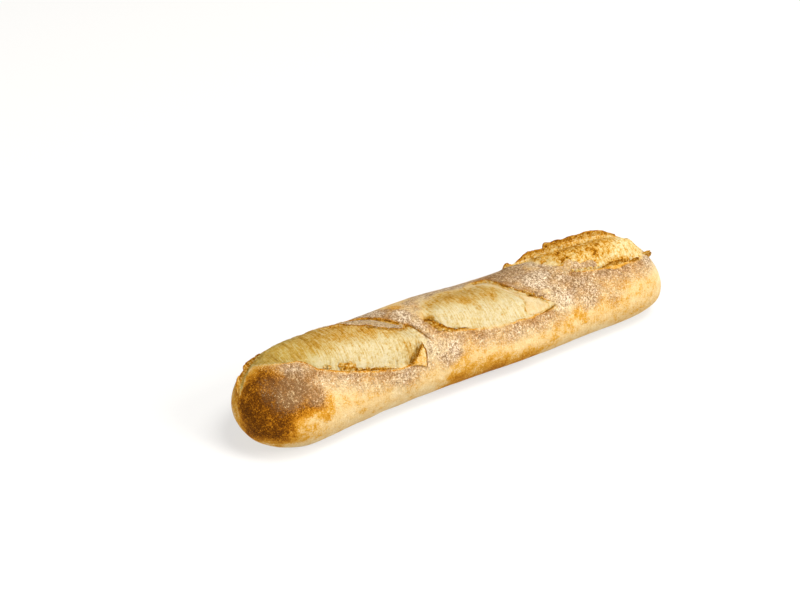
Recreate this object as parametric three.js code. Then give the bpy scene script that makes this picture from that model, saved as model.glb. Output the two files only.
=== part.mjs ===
// A long rustic loaf of bread. Millimetres, +Z up.
// It lies along X with its flat underside on z = 0 and its box centred over the origin.
// Its shown side faces -Y. Three slanting cuts on top have burst open in the oven: in each
// one a domed crumb stands between the lips of the crust, and bridges of crust part them.
import * as THREE from "three";

// Driving dimensions of the crust, without the cuts.
const LENGTH = 360;
const WIDTH = 79;
const HEIGHT = 56;
const WIDEST_LEVEL = 0.42; // height of the widest line, as a share of the crust's height
const SEAT_SINK = 4.5; // how much of the round underside is pressed flat
const BEND = 9; // how far both ends lean towards -Y
const ENDS = {
  near: { reach: 48, power: 2.2, lift: 2.5 },
  far: { reach: 62, power: 2.8, lift: -9.5 },
};

// Swells and waists along the loaf, as shares of its width and height.
const SWELLS = [
  { at: -140, reach: 42, wider: 0, taller: 0.06 },
  { at: -80, reach: 36, wider: -0.035, taller: 0.03 },
  { at: -20, reach: 36, wider: 0.015, taller: 0.015 },
  { at: 35, reach: 36, wider: 0.08, taller: -0.095 },
  { at: 90, reach: 36, wider: 0.01, taller: -0.06 },
  { at: 145, reach: 42, wider: -0.02, taller: 0.06 },
];

// The crust is laid out flat: "along" is X, and "round" is the way round the loaf from the
// top line, positive down the shown side. GIRTH_RADIUS turns round into an angle.
const GIRTH_RADIUS = 34;
const HALF_GIRTH = Math.PI * GIRTH_RADIUS;

// Each cut's outline is a closed curve through (along, round, height of its lip, crispness).
// Crispness is 1 where the lip is torn free and 0 where crust and crumb merge.
// Crown is how far the crumb rises in the middle of the cut.
const CUTS = [
  {
    crown: 5,
    outline: [
      [-175, -10, 0.3, 0.4], [-161, -14, 0.5, 1], [-156, -5, 0.5, 1], [-143, 5.5, 0.8, 1],
      [-136, 9, 1.2, 1], [-130, 16.5, 0.9, 1], [-114, 25.5, 1.2, 1], [-107, 27.8, 3, 1],
      [-97, 31, 2.2, 1], [-83, 35, 1.6, 1], [-71, 37.8, 0.8, 1], [-60, 38, 0.6, 1],
      [-49, 33, 0.6, 0], [-42, 27, 0.5, 0], [-43, 18, 0.6, 0], [-57, 2, 0.8, 1],
      [-65, -8, 0.8, 1], [-80, -17, 0.8, 1], [-105, -23, 0.8, 1], [-140, -25, 0.8, 1],
      [-158, -23, 1.8, 1], [-170, -19, 1.2, 1],
    ],
  },
  {
    crown: 2.5,
    outline: [
      [-33, 8, 0.6, 0], [-32.5, 15, 2.2, 1], [-30, 20.5, 3.4, 1], [-25, 24.3, 3.4, 1],
      [-18, 26, 2, 1], [-8, 27.4, 1.4, 1], [4, 29, 0.4, 1], [26, 30.3, 0.4, 1],
      [64, 31, 0.6, 1], [71, 29.5, 0.3, 0], [58, 16.5, 0.6, 1], [50, 7, 0.7, 1],
      [42, -12, 0.8, 1], [30, -14, 0.5, 0.8], [18, -9, 0.3, 0], [-9, -8, 0.3, 0],
      [-27, 1, 0.3, 0],
    ],
  },
  {
    crown: 6,
    outline: [
      [72, -25, 3, 0.6], [78, -22.5, 0.8, 0.2], [86, -8, 0.3, 0], [94, 6, 0.4, 0],
      [98, 11, 0.6, 1], [113, 18, 0.6, 1], [124, 20, 2, 1], [136, 22, 3, 1],
      [147, 22.5, 2.8, 1], [157, 19, 1, 0.4], [164, 14, 3, 0.8], [168, 7, 0.8, 0.2],
      [163, -5, 1.2, 0.4], [153, -8.4, 3, 1], [142, -10.8, 5, 1], [130, -13.2, 6.6, 1],
      [117, -16, 7.6, 1], [105, -19.2, 8.2, 1], [100, -20.8, 5.2, 1], [94, -22.4, 6.6, 1],
      [86, -24.4, 4.6, 1], [79, -26, 1.6, 0.8],
    ],
  },
];
const LIP_SWELL = 2.2; // how far outside a cut its lip starts to rise
const SOFT_SWELL = 3; // added where the lip merges with the crumb
const WALL = 1.6; // width of the step from the lip down to the crumb
const SOFT_WALL = 6;
const CUT_DEPTH = 0.9; // how far the crumb lies below the crust beside a crisp lip
const CRUMB_SLOPE = 8.5; // how far in the crumb has reached about two thirds of its crown
const ON_LINE = 0.02;

// Tears are narrow cracks in the crust and the crumb, as open paths of (along, round, depth).
const TEARS = [
  [[-80, -16, 0.4], [-66, -9, 1.1], [-54, 5, 1.3], [-48, 11, 1]],
  [[-46, 12.5, 1], [-40.8, 20.8, 3.2], [-37, 26.5, 1.2]],
  [[-61, 37.6, 0.8], [-56.5, 34.5, 3], [-51.5, 30, 3.5], [-48, 26, 1.2]],
  [[33, -15, 0.7], [43.5, -11, 1.1], [46, -1, 1.3], [57.5, 16, 1.1], [70, 27, 0.5]],
  [[57.5, 31.5, 0.8], [63, 31, 2], [70, 29.6, 1.5]],
  [[165, 11, 1.2], [169, 16, 1.6], [171.5, 22, 0.8]],
];
const TEAR_WIDTH = 2;

// Holes torn into the end of a cut.
const PITS = [
  { along: -30.5, round: 12, radius: 3.6, depth: 6 },
  { along: -28, round: 17, radius: 2.4, depth: 3 },
];

// Flaps of torn crust that stand proud of what they lie on.
const FLAPS = [
  { rise: 1.5, outline: [[-46, 27], [-51, 31.5], [-56.5, 37.5], [-48.5, 42], [-47.5, 35]] },
  { rise: 0.8, outline: [[121, 18], [131, 17], [142, 17.5], [146, 20], [126, 20.5]] },
];
const FLAP_EDGE = 1.2; // width of the slope at a flap's rim

// The grid of the surface: fine over the cut top, coarse over the sides and the underside.
const COLUMNS = 108;
const TOP_ROUND = { from: -45.6, to: 45.6, step: 2.4 };
const SIDE_ROUNDS = 13;
const SNAP = 0.5; // a grid point this share of a step from an edge is moved onto it
const SAMPLES_PER_SPAN = 8;

const CRUST_COLOUR = 0xd9a45f;
const CRUST_ROUGHNESS = 0.8;

function bell(distance, width) {
  return Math.exp(-((distance / width) ** 2));
}

function endShare(distance, end) {
  const share = Math.min(Math.max(distance / end.reach, 0), 1);
  return (1 - (1 - share) ** end.power) ** (1 / end.power);
}

function swellAt(along, key) {
  let total = 1;
  for (const swell of SWELLS) {
    total += swell[key] * bell(along - swell.at, swell.reach);
  }
  return total;
}

// The crust without its cuts.
function crustPoint(along, round) {
  const angle = round / GIRTH_RADIUS;
  const nearShare = endShare(along + LENGTH / 2, ENDS.near);
  const farShare = endShare(LENGTH / 2 - along, ENDS.far);
  const fullness = nearShare * farShare;
  const halfWidth = (WIDTH / 2) * swellAt(along, "wider");
  const height = HEIGHT * swellAt(along, "taller");
  const lift = ENDS.near.lift * (1 - nearShare) + ENDS.far.lift * (1 - farShare);
  const middle = WIDEST_LEVEL * height;
  const reach = Math.cos(angle) > 0 ? height - middle : middle + SEAT_SINK;
  const side = -halfWidth * fullness * Math.sin(angle) - BEND * ((2 * along) / LENGTH) ** 2;
  return new THREE.Vector3(along, side, middle + lift + reach * fullness * Math.cos(angle));
}

function crustNormal(along, round) {
  const step = 0.05;
  const forward = crustPoint(along + step, round).sub(crustPoint(along - step, round));
  const across = crustPoint(along, round + step).sub(crustPoint(along, round - step));
  return across.cross(forward).normalize();
}

// A smooth line through nodes of (along, round, height, crispness), the last two optional.
function sampleCurve(nodes, closed) {
  const points = nodes.map(([along, round, height = 0]) => new THREE.Vector3(along, round, height));
  const curve = new THREE.CatmullRomCurve3(points, closed, "centripetal");
  const spans = closed ? nodes.length : nodes.length - 1;
  return curve.getPoints(SAMPLES_PER_SPAN * spans).map((point, sample) => {
    const span = Math.floor(sample / SAMPLES_PER_SPAN);
    const share = (sample % SAMPLES_PER_SPAN) / SAMPLES_PER_SPAN;
    const before = nodes[span % nodes.length][3] ?? 0;
    const after = nodes[(span + 1) % nodes.length][3] ?? 0;
    return new THREE.Vector4(...point, THREE.MathUtils.lerp(before, after, share));
  });
}

const cuts = CUTS.map((cut) => ({ ...cut, line: sampleCurve(cut.outline, true) }));
const tears = TEARS.map((path) => ({ line: sampleCurve(path, false) }));
const flaps = FLAPS.map((flap) => ({ ...flap, line: sampleCurve(flap.outline, true) }));

// The nearest point of a sampled line, with along and round measured in the given steps.
function nearestOnLine(line, along, round, alongStep = 1, roundStep = 1) {
  let nearest = { distance: Infinity };
  for (let i = 0; i + 1 < line.length; i++) {
    const start = line[i];
    const spanX = (line[i + 1].x - start.x) / alongStep;
    const spanY = (line[i + 1].y - start.y) / roundStep;
    const toX = (along - start.x) / alongStep;
    const toY = (round - start.y) / roundStep;
    const share = (toX * spanX + toY * spanY) / (spanX * spanX + spanY * spanY);
    const held = Math.min(Math.max(share, 0), 1);
    const distance = Math.hypot(toX - held * spanX, toY - held * spanY);
    if (distance < nearest.distance) {
      nearest = { distance, point: start.clone().lerp(line[i + 1], held) };
    }
  }
  return nearest;
}

function isInside(line, along, round) {
  let inside = false;
  for (let i = 0; i + 1 < line.length; i++) {
    const start = line[i];
    const end = line[i + 1];
    const crosses = start.y > round !== end.y > round;
    if (crosses && along < ((end.x - start.x) * (round - start.y)) / (end.y - start.y) + start.x) {
      inside = !inside;
    }
  }
  return inside;
}

// How far a cut lifts or lowers the crust at one place.
function cutRelief(cut, along, round) {
  const { distance, point } = nearestOnLine(cut.line, along, round);
  const { z: lip, w: crisp } = point;
  if (distance < ON_LINE || !isInside(cut.line, along, round)) {
    return lip * bell(distance, LIP_SWELL + SOFT_SWELL * (1 - crisp));
  }
  const wall = WALL + SOFT_WALL * (1 - crisp);
  const depth = CUT_DEPTH * crisp;
  const inward = Math.max(distance - WALL, 0);
  const crumb = (cut.crown + depth) * (1 - bell(inward, CRUMB_SLOPE)) - depth;
  return THREE.MathUtils.lerp(lip, crumb, THREE.MathUtils.smoothstep(distance, 0, wall));
}

function tearRelief(tear, along, round) {
  const { distance, point } = nearestOnLine(tear.line, along, round);
  return -point.z * Math.max(1 - distance / TEAR_WIDTH, 0);
}

function pitRelief(pit, along, round) {
  return -pit.depth * bell(Math.hypot(along - pit.along, round - pit.round), pit.radius);
}

function flapRelief(flap, along, round) {
  const { distance } = nearestOnLine(flap.line, along, round);
  if (!isInside(flap.line, along, round)) {
    return 0;
  }
  return flap.rise * THREE.MathUtils.smoothstep(distance, 0, FLAP_EDGE);
}

function relief(along, round) {
  const kinds = [[cuts, cutRelief], [tears, tearRelief], [PITS, pitRelief], [flaps, flapRelief]];
  let height = 0;
  for (const [features, featureRelief] of kinds) {
    for (const feature of features) {
      height += featureRelief(feature, along, round);
    }
  }
  return height;
}

// Columns stand at even steps along the loaf's profile, so the round ends get their share.
function columnPlaces() {
  const fine = 4000;
  const places = [];
  const lengths = [0];
  for (let i = 0; i <= fine; i++) {
    places.push((-LENGTH / 2) * Math.cos((Math.PI * i) / fine));
    if (i > 0) {
      const start = crustPoint(places[i - 1], 0);
      lengths.push(lengths[i - 1] + start.distanceTo(crustPoint(places[i], 0)));
    }
  }
  const columns = [];
  for (let column = 1; column <= COLUMNS; column++) {
    const wanted = (lengths[fine] * column) / (COLUMNS + 1);
    columns.push(places[lengths.findIndex((length) => length >= wanted)]);
  }
  return columns;
}

function roundPlaces() {
  const rounds = [];
  for (let round = TOP_ROUND.from; round <= TOP_ROUND.to; round += TOP_ROUND.step) {
    rounds.push(round);
  }
  const start = rounds.at(-1);
  const gap = (2 * HALF_GIRTH - (start - TOP_ROUND.from)) / (SIDE_ROUNDS + 1);
  for (let i = 1; i <= SIDE_ROUNDS; i++) {
    rounds.push(start + gap * i);
  }
  return rounds;
}

// Grid points close to a lip or a tear move onto it, so that these edges stay crisp.
function snapped(along, round, alongStep) {
  for (const edge of [...tears, ...cuts]) {
    const found = nearestOnLine(edge.line, along, round, alongStep, TOP_ROUND.step);
    if (found.distance < SNAP) {
      return [found.point.x, found.point.y];
    }
  }
  return [along, round];
}

function surfacePoint(along, round) {
  const height = relief(along, round);
  const point = crustPoint(along, round).addScaledVector(crustNormal(along, round), height);
  point.z = Math.max(point.z, 0);
  return { point, height };
}

// Splits a cell of the grid along the diagonal whose ends lie at the more equal heights.
function cellFaces(a, b, c, d, heights) {
  if (Math.abs(heights[a] - heights[c]) < Math.abs(heights[b] - heights[d])) {
    return [a, b, c, a, c, d];
  }
  return [a, b, d, b, c, d];
}

// Closes one end of the loaf with a fan of faces round its tip.
function tipFaces(tip, firstInRing, count, turn) {
  const faces = [];
  for (let i = 0; i < count; i++) {
    const pair = [firstInRing + i, firstInRing + ((i + 1) % count)];
    faces.push(tip, ...(turn > 0 ? pair : pair.reverse()));
  }
  return faces;
}

function gridFaces(columnCount, count, heights) {
  const faces = [];
  for (let column = 0; column + 1 < columnCount; column++) {
    for (let i = 0; i < count; i++) {
      const here = column * count;
      const next = here + count;
      const after = (i + 1) % count;
      faces.push(...cellFaces(here + i, here + after, next + after, next + i, heights));
    }
  }
  return faces;
}

function loafGeometry() {
  const columns = columnPlaces();
  const rounds = roundPlaces();
  const positions = [];
  const heights = [];
  columns.forEach((along, column) => {
    const before = columns[column - 1] ?? -LENGTH / 2;
    for (const round of rounds) {
      const { point, height } = surfacePoint(...snapped(along, round, along - before));
      positions.push(...point.toArray());
      heights.push(height);
    }
  });
  const nearTip = heights.length;
  const lastRing = nearTip - rounds.length;
  positions.push(...crustPoint(-LENGTH / 2, 0).toArray());
  positions.push(...crustPoint(LENGTH / 2, 0).toArray());

  const geometry = new THREE.BufferGeometry();
  geometry.setAttribute("position", new THREE.Float32BufferAttribute(positions, 3));
  geometry.setIndex([
    ...gridFaces(columns.length, rounds.length, heights),
    ...tipFaces(nearTip, 0, rounds.length, -1),
    ...tipFaces(nearTip + 1, lastRing, rounds.length, 1),
  ]);
  geometry.computeBoundingBox();
  const centre = geometry.boundingBox.getCenter(new THREE.Vector3());
  geometry.translate(-centre.x, -centre.y, 0);
  geometry.computeVertexNormals();
  return geometry;
}

function crustMaterial() {
  return new THREE.MeshStandardMaterial({
    color: CRUST_COLOUR,
    roughness: CRUST_ROUGHNESS,
    metalness: 0,
  });
}

const loaf = new THREE.Mesh(loafGeometry(), crustMaterial());
loaf.name = "loaf";

const part = new THREE.Group();
part.add(loaf);

export default part;
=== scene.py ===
import math

import bpy
import numpy as np
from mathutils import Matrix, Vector


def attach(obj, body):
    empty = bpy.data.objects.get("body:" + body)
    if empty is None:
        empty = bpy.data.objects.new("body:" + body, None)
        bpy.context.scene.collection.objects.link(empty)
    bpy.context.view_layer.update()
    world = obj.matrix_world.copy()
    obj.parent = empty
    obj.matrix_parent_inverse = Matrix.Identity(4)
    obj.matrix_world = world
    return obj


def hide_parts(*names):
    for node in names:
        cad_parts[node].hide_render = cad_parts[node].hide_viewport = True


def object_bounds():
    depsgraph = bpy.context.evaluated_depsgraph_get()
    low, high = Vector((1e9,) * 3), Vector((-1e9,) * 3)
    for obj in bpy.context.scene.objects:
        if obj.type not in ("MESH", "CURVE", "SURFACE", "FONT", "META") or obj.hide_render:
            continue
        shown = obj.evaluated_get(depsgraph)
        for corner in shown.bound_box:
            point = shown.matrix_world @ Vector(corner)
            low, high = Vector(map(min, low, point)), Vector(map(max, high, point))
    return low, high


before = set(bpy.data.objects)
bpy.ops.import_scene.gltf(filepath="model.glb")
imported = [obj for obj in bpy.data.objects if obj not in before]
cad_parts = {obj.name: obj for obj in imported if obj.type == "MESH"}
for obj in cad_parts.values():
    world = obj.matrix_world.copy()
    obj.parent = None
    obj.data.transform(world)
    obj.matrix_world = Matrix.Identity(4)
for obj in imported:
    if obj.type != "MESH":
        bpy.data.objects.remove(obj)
cad_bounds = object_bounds()

MM = 0.001

# Driving dimensions of the crust in millimetres, the same as in the part's source.
LENGTH = 360.0
WIDTH = 79.0
HEIGHT = 56.0
WIDEST_LEVEL = 0.42
SEAT_SINK = 4.5
BEND = 9.0
NEAR_END = {"reach": 48.0, "power": 2.2, "lift": 2.5}
FAR_END = {"reach": 62.0, "power": 2.8, "lift": -9.5}
# Places along the loaf where it swells or narrows: at, reach, wider, taller.
SWELLS = (
    (-140, 42, 0.0, 0.06),
    (-80, 36, -0.035, 0.03),
    (-20, 36, 0.015, 0.015),
    (35, 36, 0.08, -0.095),
    (90, 36, 0.01, -0.06),
    (145, 42, -0.02, 0.06),
)
# The crust is laid out flat: "along" is X and "around" is the way round from the top line,
# positive down the shown side, as on a tube of this radius.
GIRTH_RADIUS = 34.0
HALF_GIRTH = math.pi * GIRTH_RADIUS

# How far a place is baked runs from 0 for pale crumb to 1 for the darkest brown.
# The three cuts. Each outline is closed and runs through
# (along, around, lip rise, lip lean, how far the lip is baked).
# Above the gold line, an open path of (along, around), the crumb is baked to gold.
# Streaks say how strongly the crumb is drawn into strands across the cut.
CUTS = (
    {
        "crown": 5.0,
        "pale": 0.11,
        "gold": 0.39,
        "streaks": 1.0,
        "outline": (
            (-175, -10, 0.3, 0.0, 0.4), (-168, -13, 0.4, 0.1, 0.45), (-161, -14, 0.5, 0.1, 0.42),
            (-156, -5, 0.4, 0.1, 0.40), (-150, 1, 0.4, 0.1, 0.42), (-143, 5.5, 0.5, 0.2, 0.48),
            (-136, 9, 0.8, 0.6, 0.7), (-130, 16.5, 0.7, 0.6, 0.66), (-123, 21, 0.7, 0.6, 0.56),
            (-114, 25.5, 0.9, 0.8, 0.66), (-105, 28.7, 0.9, 0.8, 0.66), (-94, 32, 0.8, 0.8, 0.62),
            (-83, 35, 0.7, 0.7, 0.62), (-71, 37.8, 0.6, 0.6, 0.6), (-60, 38, 0.6, 0.4, 0.55),
            (-49, 33, 0.6, 0.2, 0.3), (-42, 27, 0.5, 0.1, 0.2), (-43, 18, 0.6, 0.1, 0.3),
            (-50, 9.5, 0.6, 0.4, 0.6), (-57, 2, 0.8, 0.6, 0.65), (-65, -8, 0.8, 0.6, 0.65),
            (-80, -17, 0.8, 0.5, 0.6), (-105, -23, 0.8, 0.4, 0.6), (-140, -25, 0.8, 0.3, 0.6),
            (-158, -23, 1.0, 0.2, 0.7), (-170, -19, 0.8, 0.1, 0.7),
        ),
        "gold_line": (
            (-180, 30), (-152, 12), (-140, 10), (-126, 10), (-110, 11), (-94, 12), (-78, 14),
            (-61, 16), (-48, 12),
        ),
    },
    {
        "crown": 2.5,
        "pale": 0.10,
        "gold": 0.34,
        "streaks": 1.0,
        "outline": (
            (-33, 8, 0.4, 0.1, 0.2), (-32.5, 15, 1.4, 0.4, 0.64), (-30, 20.5, 1.7, 0.8, 0.66),
            (-25, 24.3, 1.6, 1.0, 0.66), (-18, 26, 1.0, 0.8, 0.62), (-8, 27.4, 0.6, 0.6, 0.56),
            (4, 29, 0.3, 0.2, 0.42), (26, 30.3, 0.3, 0.2, 0.42), (36, 29.6, 0.5, 0.5, 0.55),
            (44, 30.4, 0.3, 0.3, 0.45), (54, 30.8, 0.5, 0.5, 0.6), (64, 31, 0.6, 0.6, 0.5),
            (71, 29.5, 0.3, 0.2, 0.3),
            (67, 24.5, 0.4, 0.4, 0.45), (58, 16.5, 0.6, 0.6, 0.55), (50, 7, 0.7, 0.6, 0.6),
            (46, -2, 0.8, 0.6, 0.62), (42, -12, 0.8, 0.5, 0.62), (30, -14, 0.5, 0.2, 0.45),
            (18, -9, 0.3, 0.0, 0.2), (2, -9.5, 0.3, 0.0, 0.2), (-9, -8, 0.3, 0.0, 0.2),
            (-18, -4, 0.3, 0.0, 0.2), (-27, 1, 0.3, 0.0, 0.2),
        ),
        "gold_line": ((-34, -6), (-25, 2), (-14, 6), (-4, 9), (8, 11), (24, 11), (38, 9), (50, 4)),
    },
    {
        "crown": 6.0,
        "pale": 0.22,
        "gold": 0.42,
        "streaks": 0.35,
        "outline": (
            (72, -25, 1.2, 0.2, 0.4), (77, -22, 0.5, 0.0, 0.2), (83, -19, 0.3, 0.0, 0.2),
            (86, -8, 0.3, 0.0, 0.2), (90, -1, 0.3, 0.0, 0.2), (94, 6, 0.4, 0.0, 0.25),
            (98, 11, 0.6, 0.3, 0.5), (104, 14.5, 0.7, 0.4, 0.55), (113, 18, 0.6, 0.3, 0.5),
            (124, 20, 1.0, 0.7, 0.6), (136, 22, 1.3, 1.0, 0.6), (147, 22.5, 1.2, 0.8, 0.6),
            (157, 20, 0.6, 0.2, 0.4), (165, 14, 0.5, 0.1, 0.3), (167, 4, 0.5, 0.0, 0.2),
            (162, -6, 1.0, 0.2, 0.4), (153, -8, 1.6, 0.4, 0.5), (143, -10.5, 2.0, 0.5, 0.5),
            (128.5, -13, 2.4, 0.6, 0.5), (117, -15.5, 2.6, 0.6, 0.5), (107, -18, 2.6, 0.6, 0.5),
            (97, -21, 2.2, 0.6, 0.5), (86, -24, 2.0, 0.5, 0.5),
        ),
        "gold_line": (
            (70, -22), (90, -18), (96, -6), (104, 4), (116, 10), (130, 12), (140, 6), (146, -2),
            (158, -8),
        ),
    },
)
CRISP_FROM, CRISP_TO = 0.32, 0.5  # a lip baked less than the first is soft
LIP_SWELL = 2.2
SOFT_SWELL = 3.0  # added to the swell of a soft lip
WALL = 1.1
SOFT_WALL = 6.0  # added to the wall of a soft lip, which merges with the crumb
CUT_DEPTH = 0.9
CRUMB_SLOPE = 8.5

# Narrow cracks in the crust and the crumb: width, and an open path of (along, around, depth).
TEARS = (
    (0.9, ((-80, -16, 0.4), (-66, -9, 1.1), (-60, -1.5, 1.3), (-54, 5, 1.3),
           (-48, 11, 1))),
    (1.4, ((-46, 12.5, 1), (-40.8, 20.8, 3.2), (-37, 26.5, 1.2))),
    (1.9, ((-61, 37.6, 0.6), (-56.5, 34.5, 1.5), (-51.5, 30, 1.8),
           (-48, 26, 0.8))),
    (0.8, ((-41.5, 29, 0.4), (-43, 33, 0.9), (-44.8, 37, 0.5))),
    (0.7, ((-151, -15, 0.3), (-148, -6, 0.7), (-146, 2, 0.3))),
    (0.7, ((-141, -19, 0.3), (-137, -8, 0.7), (-135, 3, 0.3))),
    (0.7, ((-129, -17, 0.3), (-124, -6, 0.7), (-121, 6, 0.3))),
    (0.6, ((-118, -15, 0.2), (-112, -5, 0.6), (-109, 6, 0.2))),
    (0.9, ((33, -15, 0.7), (43.5, -11, 1.1), (46, -1, 1.3), (51, 7.5, 1.3),
           (57.5, 16, 1.1), (64, 22, 0.8), (70, 27, 0.5))),
    (0.7, ((40.5, -8, 0.4), (44, 2, 0.5), (50, 10.5, 0.5), (56, 17, 0.4))),
    (1.1, ((57.5, 31.5, 0.8), (63, 31, 2), (70, 29.6, 1.5))),
    (0.8, ((65.5, 33, 0.8), (69, 37.5, 0.7))),
    (0.7, ((51.5, 12, 0.2), (50.5, 18.5, 0.3), (46.5, 21, 0.3),
           (44.5, 29, 0.3))),
    (1.0, ((165, 11, 1.2), (169, 16, 1.6), (171.5, 22, 0.8))),
    (0.8, ((-110, -7, 0.3), (-98, -5.2, 0.7), (-88, -1.5, 0.5), (-77, 6.2, 0.6),
           (-69, 10.8, 0.6), (-58, 14.6, 0.5), (-50, 12.8, 0.4))),
    (0.9, ((85, -5, 0.5), (89.5, -7, 0.9), (94, -6.5, 0.5))),
    (0.9, ((96, 2.5, 0.4), (101, 1.6, 0.9), (106, 3, 0.4))),
    (0.8, ((116, 10, 0.4), (121, 9, 0.9), (126, 7.5, 0.4))),
    (0.8, ((-172, -18.5, 0.3), (-164, -21, 0.6), (-156, -19.5, 0.3))),
)

# Round pits: along, around, radius, depth.
PITS = (
    (-30.5, 12.0, 4.0, 4.2),
    (-28.0, 17.0, 2.6, 3.0),
    (-121.5, 19.0, 1.8, 1.6),
    (-48.5, 11.5, 1.6, 1.5),
)

# Panels of torn crust that stand a little proud: each a closed outline, how high it
# stands, how far it and its rim are baked, how thick flour lies on it and how ragged it is.
PANELS = (
    {  # strip on the far side of the near cut
        "rise": 0.4, "bake": 0.24, "rim": 0.46, "flour": 0.55, "ragged": 1.2,
        "outline": ((-118, -20), (-104, -9), (-92, -4.5), (-86, 1), (-77, 5.2), (-69, 9.8),
                    (-59, 13.4), (-50, 11.8), (-55, 5.8), (-62, -2.5), (-68, -9.5), (-84, -18)),
    },
    {  # strip on the far side of the middle cut
        "rise": 0.3, "bake": 0.2, "rim": 0.34, "flour": 0.15, "ragged": 0.5,
        "outline": ((20, -9), (30, -4.5), (38, 1), (43, 7), (49, 16), (46, 26), (52, 30),
                    (66, 28), (60, 20), (51, 11), (44.5, 2), (40, -8), (30, -12)),
    },
    {  # three-cornered flap at the right end of the near cut
        "rise": 1.3, "bake": 0.34, "rim": 0.50, "flour": 0.0, "ragged": 0.6,
        "outline": ((-45.9, 28), (-45.6, 26.2), (-46.6, 27.2), (-53, 33.4), (-58.6, 37.4),
                    (-59.8, 38.6), (-57.5, 39), (-50, 42), (-48.8, 42.8), (-48.2, 41),
                    (-46.8, 34.5)),
    },
    {  # ragged floured patch beside the far cut
        "rise": 0.3, "bake": 0.36, "rim": 0.44, "flour": 0.55, "ragged": 1.3,
        "outline": ((84, 4), (92, 1.5), (97, 4), (102, 3.5), (107, 8), (113, 9.5), (118, 14),
                    (112, 16.5), (104, 13), (97, 12), (90, 12)),
    },
    {  # toasted flap on the near lip of the far cut
        "rise": 0.8, "bake": 0.45, "rim": 0.5, "flour": 0.0, "ragged": 0.6,
        "outline": ((121, 18), (131, 17), (142, 17.5), (146, 20), (140, 23.5), (126, 23)),
    },
)

# Ragged ears of crust that stand up from a lip: how far the root is baked, and a path of
# (along, around, height, thickness, lean), where an ear with a positive lean tips over
# towards the shown side.
EARS = (
    (0.42, (
        (69, -27, 0.6, 1.6, 0.2), (72, -25.5, 2.4, 1.8, 0.4), (77, -24, 0.8, 1.6, 0.2))),
    (0.40, (
        (80, -25.5, 1.0, 1.8, 0.2), (87, -24.5, 3.6, 2.2, 0.8), (94, -22.6, 5.2, 2.2, 1.2),
        (99, -20.8, 4.4, 2.2, 1.2), (103, -19.5, 3.4, 2.0, 0.6))),
    (0.36, (
        (101, -20.5, 2.5, 2.0, 0.6), (103.5, -19.6, 6.8, 2.4, 1.4), (112, -17.6, 6.2, 2.4, 1.6),
        (120, -16, 5.8, 2.4, 1.4), (130, -13.8, 5.2, 2.2, 1.2), (140, -11.8, 4.2, 2.0, 1.0),
        (149, -10, 3.0, 1.8, 0.8), (156, -8.4, 1.6, 1.6, 0.4))),
    (0.38, (
        (-113, 25.0, 0.6, 1.8, -0.3), (-109, 25.8, 4.2, 3.6, -0.8),
        (-104, 27.4, 3.8, 3.6, -0.8), (-100, 29.2, 0.8, 1.8, -0.5))),
    (0.38, (
        (-101, 29.4, 0.8, 1.6, -0.4), (-93, 31.6, 1.8, 2.2, -0.9), (-86, 33.6, 1.6, 2.0, -0.8),
        (-78, 35.8, 0.6, 1.4, -0.4), (-70, 37.6, 0.4, 1.1, -0.2))),
    (0.46, (
        (-34, 12, 1.6, 2.8, -0.4), (-31, 19.0, 2.8, 4.2, -0.8), (-26, 23.4, 2.6, 4.4, -1.0),
        (-20, 25.6, 1.5, 3.0, -0.6), (-15, 26.8, 0.6, 1.8, -0.3))),
    (0.46, (
        (-17, 26.2, 0.8, 1.4, -0.4), (-12, 26.2, 1.7, 2.0, -0.8), (-5, 26.6, 0.6, 1.2, -0.4))),
    (0.42, (
        (119, 19.5, 0.6, 1.2, -0.2), (127, 20.6, 3.0, 2.2, -0.8), (136, 22, 3.4, 2.4, -1.0),
        (143, 21.4, 2.6, 2.0, -0.8))),
    (0.42, (
        (142, 22.4, 0.8, 1.2, -0.2), (148, 22.6, 2.8, 2.0, -0.6), (154, 21.6, 1.2, 1.4, -0.4))),
    (0.30, (
        (161, 16, 1.0, 1.8, 0.1), (165, 15.4, 3.8, 3.0, 0.3), (169.5, 14.6, 3.6, 3.0, 0.3),
        (173, 13.6, 1.0, 1.8, 0.1))),
    (0.44, (
        (-59.5, 38.3, 0.5, 1.0, -0.2), (-53.5, 33.6, 1.4, 1.1, -0.4), (-46, 26.8, 1.0, 0.9, -0.2))),
    (0.44, (
        (-45.9, 27.2, 0.7, 0.8, 0.1), (-46.8, 34.5, 1.0, 1.0, 0.2), (-48.8, 42.6, 0.4, 0.8, 0.1))),
    (0.38, (
        (-176, -15, 0.4, 1.0, 0.2), (-171, -18.5, 2.6, 1.8, 0.4), (-166, -20.5, 1.7, 1.5, 0.4),
        (-161, -22, 2.7, 1.8, 0.4), (-154, -23.5, 1.4, 1.4, 0.3), (-146, -24.5, 0.4, 1.0, 0.2))),
    (0.34, (
        (-100, -7.4, 0.3, 1.0, 0.1), (-91, -3.8, 1.1, 1.2, 0.3), (-85, 1.4, 0.6, 1.2, 0.2),
        (-77, 5.6, 1.3, 1.2, 0.4), (-70, 9.6, 0.7, 1.0, 0.2), (-60, 13.4, 1.2, 1.2, 0.4),
        (-51, 12, 0.3, 1.0, 0.1))),
    (0.34, (
        (-47, 11, 0.4, 1.0, 0.3), (-42.6, 18, 1.6, 1.2, 0.6), (-39, 24, 1.0, 1.2, 0.4),
        (-37, 28, 0.3, 0.8, 0.2))),
)
EAR_ROOT = 1.5  # how far an ear reaches down into the crust
EAR_END = 1.5  # the length over which an ear fades out at each end
EAR_LEVELS = 7
EAR_TAPER = 0.82  # the share of its thickness that an ear loses up to its tip
EAR_BAKE = (0.04, 0.28)  # added to the bake of an ear at its root and at its tip

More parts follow.
